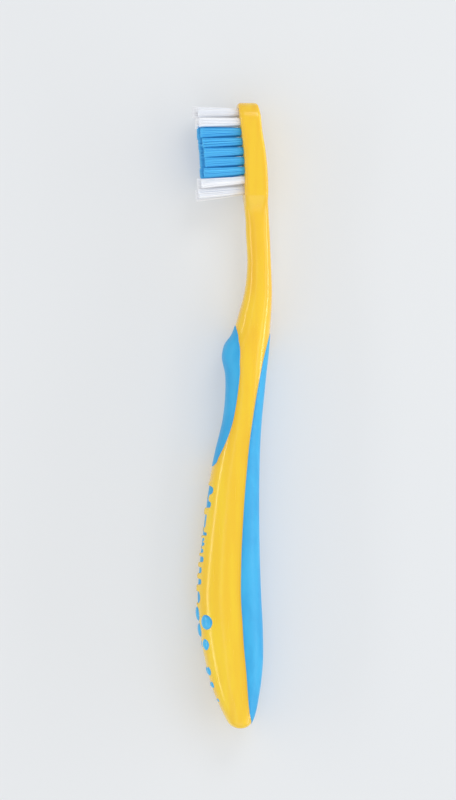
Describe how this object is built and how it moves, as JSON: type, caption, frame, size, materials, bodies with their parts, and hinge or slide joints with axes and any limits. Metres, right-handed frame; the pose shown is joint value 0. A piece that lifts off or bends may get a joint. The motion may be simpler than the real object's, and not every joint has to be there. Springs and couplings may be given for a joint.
{
  "type": "manual toothbrush",
  "caption": "Slim curved hand toothbrush with a tufted brush head, a thin neck and a thick handle with soft grip pads on front and back.",
  "frame": {"origin": "centre of the bounding box in X and Y, on the surface that the brush lies on", "axes": "the brush lies on its side: +Y runs from the butt to the toe of the head, -X is the side that the bristles point to, +Z is sideways and up"},
  "size_m": [0.0206, 0.16, 0.014],
  "materials": {
    "handle_plastic": "glossy opaque yellow moulded polypropylene",
    "soft_grip": "satin sky blue thermoplastic rubber",
    "bristle_blue": "fine sky blue nylon filament",
    "bristle_white": "fine white nylon filament",
    "anchor_metal": "drawn flat anchor wire"
  },
  "bodies": {
    "root": {"handle_core": "handle_plastic", "thumb_pad": "soft_grip", "front_grip": "soft_grip", "back_grip": "soft_grip", "tuft_anchors": "anchor_metal", "bubble_1": "soft_grip", "bubble_2": "soft_grip", "bubble_3": "soft_grip", "bubble_4": "soft_grip", "bubble_5": "soft_grip", "bubble_6": "soft_grip", "bubble_7": "soft_grip", "bubble_8": "soft_grip", "bubble_9": "soft_grip", "bubble_10": "soft_grip", "bubble_11": "soft_grip", "bubble_12": "soft_grip", "tuft_1_1": "bristle_white", "tuft_1_2": "bristle_white", "tuft_1_3": "bristle_white", "tuft_2_1": "bristle_white", "tuft_2_2": "bristle_white", "tuft_2_3": "bristle_white", "tuft_2_4": "bristle_white", "tuft_3_1": "bristle_blue", "tuft_3_2": "bristle_blue", "tuft_3_3": "bristle_blue", "tuft_3_4": "bristle_blue", "tuft_4_1": "bristle_blue", "tuft_4_2": "bristle_blue", "tuft_4_3": "bristle_blue", "tuft_4_4": "bristle_blue", "tuft_5_1": "bristle_blue", "tuft_5_2": "bristle_blue", "tuft_5_3": "bristle_blue", "tuft_5_4": "bristle_blue", "tuft_6_1": "bristle_blue", "tuft_6_2": "bristle_blue", "tuft_6_3": "bristle_blue", "tuft_6_4": "bristle_blue", "tuft_7_1": "bristle_blue", "tuft_7_2": "bristle_blue", "tuft_7_3": "bristle_blue", "tuft_7_4": "bristle_blue", "tuft_8_1": "bristle_white", "tuft_8_2": "bristle_white", "tuft_8_3": "bristle_white", "tuft_8_4": "bristle_white", "tuft_9_1": "bristle_white", "tuft_9_2": "bristle_white", "tuft_9_3": "bristle_white"}
  },
  "joints": []
}
